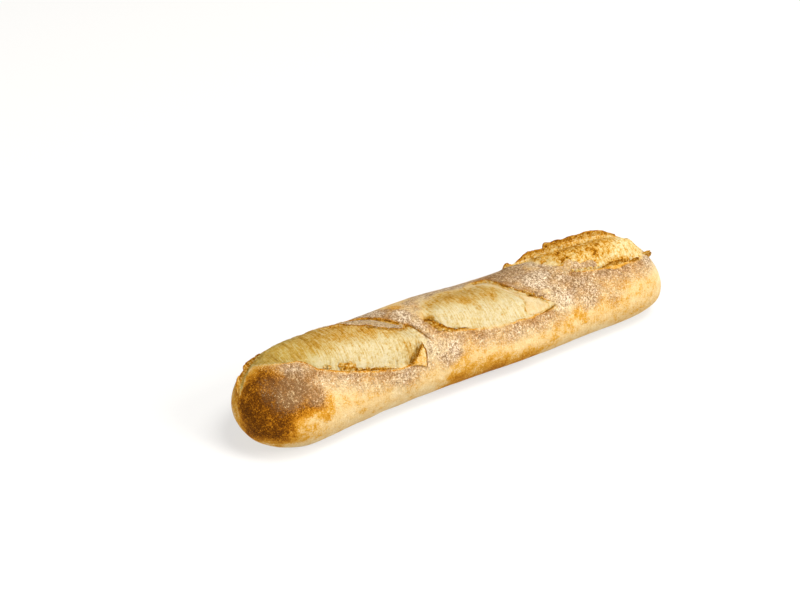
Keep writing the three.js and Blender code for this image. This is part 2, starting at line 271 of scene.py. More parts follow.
# Heaps of torn crumbs that stick to a line: its two ends as (along, around), half the width
# of the heap, how many crumbs, their smallest and largest size, how far they are baked, and
# how high they are piled in its middle.
CRUMB_HEAPS = (
    ((-112, 23.4), (-102, 26.4), 2.2, 110, 1.3, 2.8, 0.41, 2.8),
    ((-104, 27.2), (-76, 35.2), 0.6, 60, 0.9, 1.9, 0.38, 1.2),
    ((-124, 17.8), (-118, 20.4), 0.7, 16, 1.0, 2.0, 0.34, 0.9),
    ((-33, 14.5), (-30, 20.5), 1.3, 50, 1.0, 2.1, 0.47, 1.2),
    ((-30, 21), (-21, 25.2), 1.2, 70, 1.0, 2.1, 0.47, 1.2),
    ((-21, 25.6), (-5, 26.6), 0.5, 30, 0.9, 1.7, 0.44, 0.6),
    ((98, 11.6), (122, 18.6), 1.3, 44, 1.0, 2.2, 0.28, 0.5),
    ((124, 20.2), (154, 21.8), 0.6, 50, 0.9, 1.8, 0.40, 0.8),
    ((69, -25), (80, -24), 0.9, 18, 1.0, 2.0, 0.42, 0.6),
    ((28, -13.5), (46, -4), 0.5, 24, 0.8, 1.5, 0.40, 0.5),
    ((48, 4), (66, 24), 0.5, 26, 0.8, 1.5, 0.40, 0.4),
)
CRUMB_SIDES = 12

# The grid of the surface.
COLUMNS = 470
TOP_FROM, TOP_TO, TOP_STEP = -46.0, 46.0, 0.66
SIDE_ROUNDS = 62
EDGE_PULL = 0.6  # share by which grid lines close up on an edge
EDGE_PULL_REACH = 2.2
FAR_AWAY = 1e3


# --- Noise ------------------------------------------------------------------------------
def lattice_value(cell, seed):
    """A repeatable number from -1 to 1 for each whole-numbered point of a lattice."""
    mixed = cell[..., 0].astype(np.uint32) * np.uint32(374761393)
    mixed += cell[..., 1].astype(np.uint32) * np.uint32(668265263)
    mixed += cell[..., 2].astype(np.uint32) * np.uint32(2246822519)
    mixed += np.uint32(seed * 3266489917 % 4294967296)
    mixed = (mixed ^ (mixed >> np.uint32(13))) * np.uint32(1274126177)
    mixed = (mixed ^ (mixed >> np.uint32(16))) * np.uint32(2654435761)
    mixed = mixed ^ (mixed >> np.uint32(15))
    return mixed.astype(np.float64) / 2147483648.0 - 1.0


def noise(points, size, seed):
    """Smooth noise from about -1 to 1, with features of the given size."""
    scaled = np.asarray(points, float) / size
    cell = np.floor(scaled).astype(np.int64)
    share = scaled - cell
    share = share * share * (3 - 2 * share)
    total = np.zeros(scaled.shape[:-1])
    for corner in range(8):
        offset = np.array([corner & 1, corner >> 1 & 1, corner >> 2 & 1])
        weight = np.prod(np.where(offset == 1, share, 1 - share), axis=-1)
        total += weight * lattice_value(cell + offset, seed)
    return total


def rough_noise(points, size, seed, octaves=3):
    total = np.zeros(np.shape(points)[:-1])
    for octave in range(octaves):
        total += noise(points, np.asarray(size) / 2**octave, seed + octave) / 2**octave
    return total


def smooth_step(low, high, value):
    share = np.clip((value - low) / (high - low), 0, 1)
    return share * share * (3 - 2 * share)


def bell(distance, width):
    return np.exp(-((distance / width) ** 2))


def blend(first, second, share):
    return first + (second - first) * share


# --- The crust without its cuts ---------------------------------------------------------
def end_share(distance, end):
    share = np.clip(distance / end["reach"], 0, 1)
    return (1 - (1 - share) ** end["power"]) ** (1 / end["power"])


def crust_point(along, around):
    angle = around / GIRTH_RADIUS
    near_share = end_share(along + LENGTH / 2, NEAR_END)
    far_share = end_share(LENGTH / 2 - along, FAR_END)
    fullness = near_share * far_share
    wider = 1 + sum(w * bell(along - at, reach) for at, reach, w, _ in SWELLS)
    taller = 1 + sum(t * bell(along - at, reach) for at, reach, _, t in SWELLS)
    height = HEIGHT * taller
    lift = NEAR_END["lift"] * (1 - near_share) + FAR_END["lift"] * (1 - far_share)
    middle = WIDEST_LEVEL * height
    reach = np.where(np.cos(angle) > 0, height - middle, middle + SEAT_SINK)
    side = -WIDTH / 2 * wider * fullness * np.sin(angle) - BEND * (2 * along / LENGTH) ** 2
    up = middle + lift + reach * fullness * np.cos(angle)
    return np.stack([along + 0 * around, side, up], axis=-1)


def unit(vectors):
    return vectors / np.maximum(np.linalg.norm(vectors, axis=-1, keepdims=True), 1e-9)


def crust_tangents(along, around):
    step = 0.05
    inner = np.clip(along, -LENGTH / 2 + step, LENGTH / 2 - step)
    forward = crust_point(inner + step, around) - crust_point(inner - step, around)
    across = crust_point(inner, around + step) - crust_point(inner, around - step)
    return unit(forward), unit(across)


# --- Lines on the crust -----------------------------------------------------------------
def curve_through(nodes, closed, spacing=0.4):
    """A centripetal Catmull-Rom curve through the nodes, sampled about every spacing mm."""
    nodes = np.array(nodes, float)
    count = len(nodes)
    samples = []
    for i in range(count if closed else count - 1):
        wanted = [i - 1, i, i + 1, i + 2]
        if closed:
            four = nodes[np.array(wanted) % count]
        else:
            four = nodes[np.clip(wanted, 0, count - 1)]
            if i == 0:
                four[0] = 2 * four[1] - four[2]
            if i == count - 2:
                four[3] = 2 * four[2] - four[1]
        knots = np.zeros(4)
        for k in range(3):
            knots[k + 1] = knots[k] + np.linalg.norm(four[k + 1, :2] - four[k, :2]) ** 0.5
        steps = max(2, int(np.linalg.norm(four[2, :2] - four[1, :2]) / spacing))
        for knot in np.linspace(knots[1], knots[2], steps, endpoint=False):
            level = list(four)
            for depth in (1, 2, 3):
                level = [
                    blend_nodes(level[k], level[k + 1], knots, knot, k, depth)
                    for k in range(len(level) - 1)
                ]
            samples.append(level[0])
    if not closed:
        samples.append(nodes[-1])
    return np.array(samples)


def blend_nodes(first, second, knots, knot, k, depth):
    """One step of the pyramid that evaluates a Catmull-Rom curve."""
    if depth == 1:
        low, high = knots[k], knots[k + 1]
    elif depth == 2:
        low, high = knots[k], knots[k + 2]
    else:
        low, high = knots[1], knots[2]
    return ((high - knot) * first + (knot - low) * second) / (high - low)


def ragged(line, amount, size, seed, closed):
    """Moves a line's points sideways by noise, so that it reads as torn."""
    ahead = np.roll(line, -1, axis=0)
    behind = np.roll(line, 1, axis=0)
    if not closed:
        ahead[-1] = line[-1]
        behind[0] = line[0]
    direction = unit((ahead - behind)[:, :2])
    sideways = np.stack([direction[:, 1], -direction[:, 0]], axis=-1)
    moved = line.copy()
    moved[:, :2] += sideways * (amount * rough_noise(flat_points(*line.T[:2]), size, seed))[:, None]
    return moved


def flat_points(along, around, along_share=1.0, around_share=1.0):
    return np.stack([along * along_share, around * around_share, 0 * along], axis=-1)


class Edge:
    """A line on the crust, with what is needed to measure from it."""

    def __init__(self, line, closed):
        self.line = np.vstack([line, line[:1]]) if closed else line
        self.closed = closed

    def measure(self, along, around, reach=20.0):
        """Distance (positive inside), nearest point and the line's values there."""
        line = self.line
        extra = line.shape[1] - 2
        distance = np.full(along.shape, -FAR_AWAY if self.closed else FAR_AWAY)
        nearest = np.stack([along, around], axis=-1)
        values = np.zeros(along.shape + (extra,))
        low = line[:, :2].min(axis=0) - reach
        high = line[:, :2].max(axis=0) + reach
        close = (along > low[0]) & (along < high[0]) & (around > low[1]) & (around < high[1])
        index = np.flatnonzero(close)
        for part in np.array_split(index, max(1, len(index) // 4000)):
            place = np.stack([along.flat[part], around.flat[part]], axis=-1)
            found = self.nearest_part(place)
            distance.flat[part] = found[0]
            nearest.reshape(-1, 2)[part] = found[1]
            values.reshape(-1, extra)[part] = found[2]
        return distance, nearest, values

    def nearest_part(self, place):
        start = self.line[:-1]
        end = self.line[1:]
        gaps = place[:, None, :] - start[None, :, :2]
        guess = (gaps**2).sum(axis=-1).argmin(axis=1)
        best = np.full(len(place), 1e9)
        nearest = np.zeros((len(place), 2))
        values = np.zeros((len(place), self.line.shape[1] - 2))
        for shift in (-1, 0):
            i = np.clip(guess + shift, 0, len(start) - 1)
            span = end[i] - start[i]
            length = (span[:, :2] ** 2).sum(axis=-1)
            share = ((place - start[i, :2]) * span[:, :2]).sum(axis=-1) / np.maximum(length, 1e-9)
            share = np.clip(share, 0, 1)[:, None]
            point = start[i] + share * span
            distance = np.linalg.norm(place - point[:, :2], axis=-1)
            better = distance < best
            best[better] = distance[better]
            nearest[better] = point[better, :2]
            values[better] = point[better, 2:]
        if self.closed:
            best = np.where(self.inside(place), best, -best)
        return best, nearest, values

    def inside(self, place):
        start = self.line[:-1, :2]
        end = self.line[1:, :2]
        along = place[:, :1]
        around = place[:, 1:]
        between = (start[:, 1] > around) != (end[:, 1] > around)
        rise = end[:, 1] - start[:, 1]
        rise = np.where(np.abs(rise) < 1e-9, 1e-9, rise)
        crossing = (end[:, 0] - start[:, 0]) * (around - start[:, 1]) / rise + start[:, 0]
        return (between & (along < crossing)).sum(axis=1) % 2 == 1


def torn_edge(nodes, closed, amount, size, seed):
    nodes = [tuple(node) if len(node) > 2 else (*node, 0.0) for node in nodes]
    line = curve_through(nodes, closed)
    return Edge(ragged(line, amount, size, seed, closed), closed)


CUT_EDGES = [torn_edge(cut["outline"], True, 0.45, 4.0, 11 + i) for i, cut in enumerate(CUTS)]
PANEL_EDGES = [torn_edge(panel["outline"], True, panel["ragged"], 3.0, 31 + i)
               for i, panel in enumerate(PANELS)]
TEAR_EDGES = [torn_edge(path, False, 0.35, 3.0, 51 + i) for i, (_, path) in enumerate(TEARS)]


# --- The grid ---------------------------------------------------------------------------
def lengths_along(points):
    """How far each point of a path lies from its start."""
    return np.concatenate([[0], np.cumsum(np.linalg.norm(np.diff(points, axis=0), axis=-1))])


def column_places():
    places = -LENGTH / 2 * np.cos(np.linspace(0, math.pi, 6001))
    lengths = lengths_along(crust_point(places, np.zeros_like(places)))
    wanted = np.linspace(0, lengths[-1], COLUMNS + 2)[1:-1]
    return np.interp(wanted, lengths, places)


def around_places():
    top = np.arange(TOP_FROM, TOP_TO + TOP_STEP / 2, TOP_STEP)
    gap = (2 * HALF_GIRTH - (top[-1] - top[0])) / (SIDE_ROUNDS + 1)
    return np.concatenate([top, top[-1] + gap * np.arange(1, SIDE_ROUNDS + 1)])


def pull_to_edge(along, around, edge):
    """Closes up the grid lines beside an edge, so that its step stays sharp."""
    distance, nearest, _ = edge.measure(along, around, reach=3 * EDGE_PULL_REACH)
    kept = 1 - EDGE_PULL * bell(distance, EDGE_PULL_REACH)
    pulled_along = nearest[..., 0] + (along - nearest[..., 0]) * kept
    pulled_around = nearest[..., 1] + (around - nearest[..., 1]) * kept
    return pulled_along, pulled_around


# --- How far the crust is baked and where flour lies --------------------------------------
# Each place is (along, around, radius, strength).
# The three places at around 72 to 74 are painted shade, a darker and more orange band along the
# bottom edge of the shown side.
BAKED_AND_SHADED_PLACES = (
    (-166, 26, 38, 0.34), (-173, 34, 34, 0.62), (-168, 14, 26, 0.58), (-160, 48, 22, 0.20),
    (-153, 25, 24, 0.50), (-176, -16, 16, 0.16), (-178, -38, 34, 0.20), (-143, 34, 18, 0.33),
    (-134, 42, 13, 0.20), (-120, 44, 9, 0.10), (-3, 62, 14, 0.12), (-30, 66, 16, 0.12),
    (88, 44, 12, 0.16), (76, 52, 9, 0.12), (115, 40, 8, 0.12), (40, 58, 14, 0.10),
    (60, -12, 24, 0.27), (90, 16, 22, 0.20), (-52, -6, 16, 0.16), (-20, 74, 26, 0.32),
    (8, 74, 28, 0.34), (36, 72, 26, 0.30), (-98, 34, 12, 0.08), (-80, 42, 12, 0.08),
    (5, 50, 40, 0.10), (60, 50, 40, 0.08), (130, 40, 40, 0.10),
)
# Places that the oven left paler than the crust around them.
PALE_PLACES = ((-39, 32, 13, 0.16), (76, 25, 16, 0.22), (172, 22, 22, 0.12))
FLOURED_PLACES = (
    (-154, 24, 20, 0.60), (-144, 14, 13, 0.68), (-160, 17, 20, 0.34), (-138, 29, 18, 0.54),
    (-60, -14, 18, 0.9), (-70, 46, 30, 0.22),
    (-45, 2, 13, 0.95), (-38, 24, 12, 0.6), (-40, 34, 12, 0.45), (60, -12, 26, 1.0),
    (72, 6, 22, 0.95), (84, 20, 22, 0.85), (100, 28, 20, 0.70), (122, 33, 18, 0.45),
    (-10, -16, 18, 0.8), (15, -18, 18, 0.8), (-28, -6, 14, 0.6), (-28, 36, 18, 0.78),
)
# Spots in the crumb: along, around, radius along, radius around, strength. The spots at along -58
# and -61 are painted shade, darker crumb beside the flap at the right end of the near cut.
CRUMB_SPOTS_AND_SHADE = (
    (-4.7, 0.6, 6, 4, 0.14), (4, 7.6, 6, 4, 0.12), (29, 8.5, 3, 6, 0.14), (-20, 4, 6, 3, 0.14),
    (-58, 31, 4, 6, 0.20), (-61, 24, 3.5, 7, 0.12), (92, -14, 7, 5, 0.20), (108, -8, 8, 3, 0.14),
    (84, -14, 4, 2.4, 0.12), (99, -12, 4, 2, 0.16), (103, -4, 5, 2, 0.12), (96, 4, 4, 2, 0.12),
    (101, 1.5, 3.2, 2.2, 0.28), (121.7, 8.9, 2.6, 2.6, 0.28), (89.3, -8.2, 3, 1.5, 0.22),
    (110.2, 14.3, 3, 1.6, 0.1), (115, -2.4, 9, 6, 0.12), (96, -4, 5, 2.2, 0.14),
    (128, 2, 6, 5, 0.08), (-96, 6, 6, 4, 0.08), (-80, 10, 5, 4, 0.10), (-66, 14, 4, 4, 0.10),
    (-52, 12, 5, 2.5, 0.12), (-112, 0, 6, 4, 0.05),
)


def patches(base, places, seed):
    """The strongest of some soft round patches with uneven rims."""
    total = np.zeros(base.shape[:-1])
    uneven = 1 + 0.22 * rough_noise(base, 9, seed)
    for along, around, radius, strength in places:
        centre = crust_point(np.float64(along), np.float64(around))
        reach = np.linalg.norm(base - centre, axis=-1) / radius * uneven
        total = np.maximum(total, strength * smooth_step(1.0, 0.35, reach))
    return total


def crust_bake(base, band):
    """The bake of the crust: gold, with brown at the near end, more colour by the lips, and painted
    shade in deeper orange along the bottom edge of the shown side.
    """
    bake = 0.29 + 0.07 * rough_noise(base, 15, 77, 2) + 0.05 * noise(base, 5, 79)
    bake = bake + 0.15 * band + patches(base, BAKED_AND_SHADED_PLACES, 75)
    return bake - patches(base, PALE_PLACES, 76)


def strands(along, around, wide, long, seed):
    """Noise drawn out into slanting strands across a cut."""
    return rough_noise(flat_points(along + 0.15 * around, around, 1 / wide, 1 / long), 1.0, seed)


def crumb_bake(cut, along, around):
    """The bake of the crumb in one cut: gold above its gold line, pale below, with spots, two of
    them painted shade beside a flap.
    """
    line = np.array(cut["gold_line"], float)
    level = np.interp(along, line[:, 0], line[:, 1])
    level = level + 1.6 * rough_noise(flat_points(along, around, 1 / 4, 1 / 9), 1.0, 81)
    bake = blend(cut["pale"], cut["gold"], smooth_step(6.5, -6.5, around - level))
    for at, spot_around, wide, tall, strength in CRUMB_SPOTS_AND_SHADE:
        reach = np.hypot((along - at) / wide, (around - spot_around) / tall)
        bake = bake + strength * bell(reach, 1.0)
    streaks = strands(along, around, 1.9, 13, 85)
    mottle = rough_noise(flat_points(along, around, 1 / 2.6, 1 / 1.5), 1.0, 89)
    return bake + 0.045 * cut["streaks"] * streaks + 0.09 * (1 - cut["streaks"]) * mottle


def flour_cover(base, outside):
    band = 0.62 * smooth_step(24, 2, outside) * smooth_step(-165, -145, base[..., 0])
    cover = np.maximum(band, patches(base, FLOURED_PLACES, 71))
    cover = cover * (1 + 0.3 * rough_noise(base, 8, 73))
    return np.clip(cover - 0.2 * smooth_step(24, 8, base[..., 2]), 0, 1)


# --- The surface: relief and the masks that the materials read ----------------------------
def cut_relief(cut, distance, rise, crisp):
    """The height of a lip outside the edge of its cut, and of the crumb inside it."""
    soft = 1 - crisp
    swell = rise * bell(np.minimum(distance, 0), LIP_SWELL + SOFT_SWELL * soft)
    drop = CUT_DEPTH * crisp
    inward = np.maximum(distance - WALL, 0)
    dome = (cut["crown"] + drop) * (1 - bell(inward, CRUMB_SLOPE)) - drop
    down_wall = smooth_step(0.0, WALL + SOFT_WALL * soft, distance)
    return np.where(distance > 0, blend(swell, dome, down_wall), swell)


def surface(along, around):
    """Points of the finished surface, the outward direction there, and the masks."""
    base = crust_point(along, around)
    flat = flat_points(along, around)
    grit = rough_noise(flat, 1.6, 87)
    forward, across = crust_tangents(along, around)
    outward = unit(np.cross(across, forward))

    height = 0.5 * noise(base, 34, 1) + 0.25 * noise(base, 13, 2) + 0.10 * rough_noise(base, 4, 3)
    shift = np.zeros(base.shape)
    crumb, streaky, olive_shade, crack_shade, inner_bake, lip, lip_bake, band = np.zeros((8, *along.shape))
    outside = np.full(along.shape, FAR_AWAY)
    for cut, edge in zip(CUTS, CUT_EDGES):
        distance, nearest, values = edge.measure(along, around)
        rise, lean, baked = values[..., 0], values[..., 1], values[..., 2]
        crisp = smooth_step(CRISP_FROM, CRISP_TO, baked)
        soft = 1 - crisp
        height += cut_relief(cut, distance, rise, crisp)
        uneven = distance + 2.0 * soft * rough_noise(base, 5, 97)
        here = smooth_step(-0.1 - 3.5 * soft, 0.4 + 3.5 * soft, uneven)
        inner_bake = blend(inner_bake, crumb_bake(cut, along, around), here)
        crumb = np.maximum(crumb, here)
        streaky = np.maximum(streaky, here * cut["streaks"])
        # painted shade: the crumb of the cuts toward the near end turns a darker olive gold, as if
        # it faced away from the light
        olive_shade = np.maximum(olive_shade, here * smooth_step(-95, -150, along))
        near_lip = bell(distance + 0.25, 0.65)
        lip_bake = blend(lip_bake, baked, near_lip)
        lip = np.maximum(lip, near_lip * crisp)
        band = np.maximum(band, crisp * smooth_step(9, 1, -distance))
        outside = np.minimum(outside, np.maximum(-distance, 0))
        toward = unit(flat[..., :2] - nearest)
        toward = np.where(distance[..., None] > 0, toward, -toward)
        over = 0.7 * lean * bell(distance + 0.1, 0.8)
        shift += over[..., None] * (forward * toward[..., :1] + across * toward[..., 1:])

    bake = blend(crust_bake(base, band), inner_bake, crumb)
    lip *= np.clip(0.85 + 0.5 * grit, 0, 1)
    bake = blend(bake, lip_bake + 0.06 * grit, lip)
    flour = flour_cover(base, outside) * (1 - crumb) * (1 - lip)

    for panel, edge in zip(PANELS, PANEL_EDGES):
        distance, _, _ = edge.measure(along, around)
        on = smooth_step(-0.25, 0.25, distance)
        height += panel["rise"] * smooth_step(-0.3, 0.3, distance)
        bake = blend(bake, panel["bake"] + 0.06 * rough_noise(base, 5, 91), on)
        bake = blend(bake, panel["rim"] + 0.06 * grit, 0.8 * bell(distance, 0.55))
        flour = blend(flour, panel["flour"] * (1 + 0.4 * rough_noise(base, 5, 93)), on)
        crumb = crumb * (1 - on * (panel["flour"] > 0))
        streaky = streaky * (1 - 0.5 * on)

    for (width, _), edge in zip(TEARS, TEAR_EDGES):
        distance, _, values = edge.measure(along, around)
        notch = np.maximum(1 - distance / width, 0)
        depth = values[..., 0] * (1 + 0.5 * grit)
        height -= depth * notch
        bake += 0.35 * np.clip(0.5 * depth, 0, 1) * bell(distance / width, 0.9)
        # painted shade: the floor of a crack is painted dark, more so where it is deeper
        crack_shade = np.maximum(crack_shade, smooth_step(0.5, 0.9, notch) * np.clip(0.35 * depth, 0, 1))
    for at, pit_around, radius, depth in PITS:
        reach = np.hypot(along - at, around - pit_around) / radius
        reach *= 1 + 0.25 * rough_noise(flat, 3.0, 95)
        height -= depth * bell(reach, 0.8)
        bake += 0.12 * depth * bell(reach, 1.0)
        flour *= 1 - bell(reach, 1.2)
        # painted shade: the middle of a pit is painted dark, more so where it is deeper
        crack_shade = np.maximum(crack_shade, min(1.0, depth / 6) * bell(reach, 0.6))

    height += 0.13 * streaky * strands(along, around, 1.6, 14, 5)
    height += (0.14 * crumb + 0.22 * (crumb - streaky)) * rough_noise(base, 3.0, 9)
    points = base + outward * height[..., None] + shift
    masks = {"flour": flour, "crumb": crumb, "streaky": streaky, "olive_shade": olive_shade, "crack_shade": crack_shade}
    masks = {name: np.clip(values, 0, 1) for name, values in masks.items()}
    return points, outward, {"bake": bake, **masks}


def settled(points, centre):
    """Centres points over the origin, flattens the underside and stays in the CAD box."""
    moved = points - np.array([0, centre, 0])
    moved[:, 2] = np.maximum(moved[:, 2], 0)
    low, high = (np.array(corner) / MM for corner in cad_bounds)
    return np.clip(moved, low, high)


# --- Meshes -----------------------------------------------------------------------------
def grid_faces(columns, rounds):
    column, ring = np.meshgrid(np.arange(columns - 1), np.arange(rounds), indexing="ij")
    after = (ring + 1) % rounds
    corners = [column * rounds + ring, column * rounds + after]
    corners += [(column + 1) * rounds + after, (column + 1) * rounds + ring]
    return np.stack(corners, axis=-1).reshape(-1, 4)


def tube_faces(columns, rounds):
    """Faces of a closed tube: the grid, and a fan to the extra point at each end."""
    faces = grid_faces(columns, rounds).tolist()
    last = (columns - 1) * rounds
    first_tip, last_tip = columns * rounds, columns * rounds + 1
    for ring in range(rounds):
        after = (ring + 1) % rounds
        faces.append([first_tip, after, ring])
        faces.append([last_tip, last + ring, last + after])
    return faces


def add_object(name, vertices, faces, masks, layout):
    mesh = bpy.data.meshes.new(name)
    mesh.from_pydata((vertices * MM).tolist(), [], faces)
    mesh.polygons.foreach_set("use_smooth", [True] * len(mesh.polygons))
    for mask, values in masks.items():
        layer = mesh.attributes.new(mask, "FLOAT", "POINT")
        layer.data.foreach_set("value", values.astype(np.float32))
    layer = mesh.attributes.new("layout", "FLOAT_VECTOR", "POINT")
    layer.data.foreach_set("vector", layout.astype(np.float32).ravel())
    mesh.update()
    added = bpy.data.objects.new(name, mesh)
    bpy.context.collection.objects.link(added)
    return added


def build_loaf():
    """The crust with its crumb as one closed skin; returns it and its middle in Y."""
    along, around = np.meshgrid(column_places(), around_places(), indexing="ij")
    for edge in CUT_EDGES + PANEL_EDGES + TEAR_EDGES:
        along, around = pull_to_edge(along, around, edge)
    columns, rounds = along.shape
    points, _, masks = surface(along, around)
    ends = np.array([-LENGTH / 2, LENGTH / 2])
    both = np.concatenate([points.reshape(-1, 3), crust_point(ends, np.zeros(2))])
    centre = (both[:, 1].min() + both[:, 1].max()) / 2

    last = (columns - 1) * rounds
    flat_masks = {}
    for name, values in masks.items():
        values = values.ravel()
        flat_masks[name] = np.append(values, [values[:rounds].mean(), values[last:].mean()])
    layout = flat_points(np.append(along.ravel(), ends), np.append(around.ravel(), [0, 0]))
    faces = tube_faces(columns, rounds)
    loaf = add_object("loaf_crust", settled(both, centre), faces, flat_masks, layout)
    add_grid_uv(loaf.data, columns, rounds)
    return loaf, centre


def add_grid_uv(mesh, columns, rounds):
    """Lays the grid out flat: one column or ring of the grid is one even step of the map."""
    corner_vertex = np.zeros(len(mesh.loops), np.int64)
    mesh.loops.foreach_get("vertex_index", corner_vertex)
    starts = np.zeros(len(mesh.polygons), np.int64)
    totals = np.zeros(len(mesh.polygons), np.int64)
    mesh.polygons.foreach_get("loop_start", starts)
    mesh.polygons.foreach_get("loop_total", totals)
    face_of_corner = np.repeat(np.arange(len(starts)), totals)
    tip = corner_vertex >= columns * rounds
    column = np.where(tip, 0, corner_vertex // rounds)
    ring = np.where(tip, 0, corner_vertex % rounds).astype(float)
    column = np.where(corner_vertex == columns * rounds, -1, column)
    column = np.where(corner_vertex == columns * rounds + 1, columns, column)
    highest = np.zeros(len(starts))
    np.maximum.at(highest, face_of_corner, ring)
    wraps = (highest[face_of_corner] == rounds - 1) & (ring == 0) & ~tip
    ring = np.where(wraps, rounds, ring)
    ring = np.where(tip, np.minimum(highest[face_of_corner], rounds - 1) + 0.5, ring)
    uv = np.stack([(column + 1) / (columns + 1), ring / rounds], axis=-1)
    layer = mesh.uv_layers.new(name="OFBake")
    layer.data.foreach_set("uv", uv.astype(np.float32).ravel())


def ear_mesh(ear, seed):
    """One ragged ear: a blade along its path, thick at the root and thin at the tip."""
    root_bake, path = ear
    line = curve_through(path, closed=False, spacing=0.35)
    along, around, tall, thick, lean = line.T
    foot, outward, _ = surface(along, around)
    sideways = unit(np.cross(outward, unit(np.gradient(foot, axis=0))))
    sideways *= np.where(sideways[:, 1:2] < 0, 1, -1)  # towards the shown side

    places = flat_points(along, around)
    length = lengths_along(foot)
    fade = np.sqrt(np.clip(np.minimum(length, length[-1] - length) / EAR_END, 0, 1))
    tall = tall * (1 + 0.22 * rough_noise(places, 9.0, seed, 4)) * fade
    thick = thick * blend(0.4, 1.0, fade)

    rings = []
    levels = []
    for side, level in blade_places():
        wide = side * thick / 2 * (1 - EAR_TAPER * level)
        rise = -EAR_ROOT + (tall + EAR_ROOT) * level
        over = lean * fade * level**2
        crisp = 0.18 * rough_noise(places + [0, side * 5, level * 4], 2.6, seed + 3)
        point = foot + sideways * (wide + over + crisp)[:, None] + outward * rise[:, None]
        rings.append(point + outward * (0.5 * crisp)[:, None])
        levels.append(np.full(len(line), level))
    rounds = len(rings)
    points = np.stack(rings, axis=1).reshape(-1, 3)
    ends = np.stack([points[:rounds].mean(axis=0), points[-rounds:].mean(axis=0)])
    flat_along = np.append(np.repeat(along, rounds), [along[0], along[-1]])
    flat_around = np.append(np.repeat(around, rounds), [around[0], around[-1]])
    share = np.append(np.stack(levels, axis=1).ravel(), [0.5, 0.5])
    layout = np.stack([flat_along, flat_around, 5.0 * share], axis=-1)
    bake = root_bake + blend(*EAR_BAKE, share**2) + 0.12 * rough_noise(layout, 3.0, seed + 5)
    return np.vstack([points, ends]), tube_faces(len(line), rounds), bake, layout


def blade_places():
    """(side, level) of the points round a blade: up one side from the root, down the other."""
    up = [step / (EAR_LEVELS - 1) for step in range(EAR_LEVELS)]
    return [(1, level) for level in up] + [(-1, level) for level in reversed(up)]


def crumb_ball():
    """Points and faces of a round ball."""
    turn = np.linspace(0, 2 * math.pi, CRUMB_SIDES, endpoint=False)
    rise = np.linspace(0, math.pi, CRUMB_SIDES // 2 + 2)[1:-1]
    rise, turn = np.meshgrid(rise, turn, indexing="ij")
    ball = np.stack([np.sin(rise) * np.cos(turn), np.sin(rise) * np.sin(turn), np.cos(rise)], -1)
    return np.vstack([ball.reshape(-1, 3), [(0, 0, 1), (0, 0, -1)]]), tube_faces(*rise.shape)


def crumb_heap(heap, seed):
    """The crumbs of one heap, as small bumpy balls half sunk in the surface."""
    start, end, half, count, smallest, largest, baked, pile = heap
    random = np.random.default_rng(seed)
    share = random.random(count)
    along = blend(start[0], end[0], share) + random.normal(0, 0.3, count)
    around = blend(start[1], end[1], share) + half * random.uniform(-1, 1, count)
    sizes = blend(smallest, largest, random.random(count) ** 1.6)
    feet, outward, _ = surface(along, around)
    ball, faces = crumb_ball()
    meshes = []
    for i in range(count):
        places = ball + 9.0 * i
        bumpy = 1 + 0.3 * rough_noise(places, 1.1, seed)
        squash = random.uniform(0.8, 1.4, 3)
        points = ball * bumpy[:, None] * squash * sizes[i] / 2
        highest = pile * (1 - (2 * share[i] - 1) ** 2)
        points = points + feet[i] + outward[i] * random.uniform(0.0, max(highest, 0.2))
        bake = baked + random.normal(0, 0.07) + 0.08 * rough_noise(places, 0.8, seed + 2)
        layout = ball * sizes[i] / 2 + np.array([along[i], around[i], 0])
        meshes.append((points, faces, bake, layout))
    return meshes


def build_pieces(name, meshes, centre):
    """Joins meshes of (points, faces, bake, layout) into one object."""
    points, faces, bakes, layouts = [], [], [], []
    start = 0
    for piece_points, piece_faces, bake, layout in meshes:
        points.append(piece_points)
        faces += [[start + corner for corner in face] for face in piece_faces]
        bakes.append(bake)
        layouts.append(layout)
        start += len(piece_points)
    bake = np.concatenate(bakes)
    masks = {"bake": bake, "crumb": np.ones(len(bake)), "streaky": np.full(len(bake), 0.5)}
    vertices = settled(np.vstack(points), centre)
    return add_object(name, vertices, faces, masks, np.vstack(layouts))


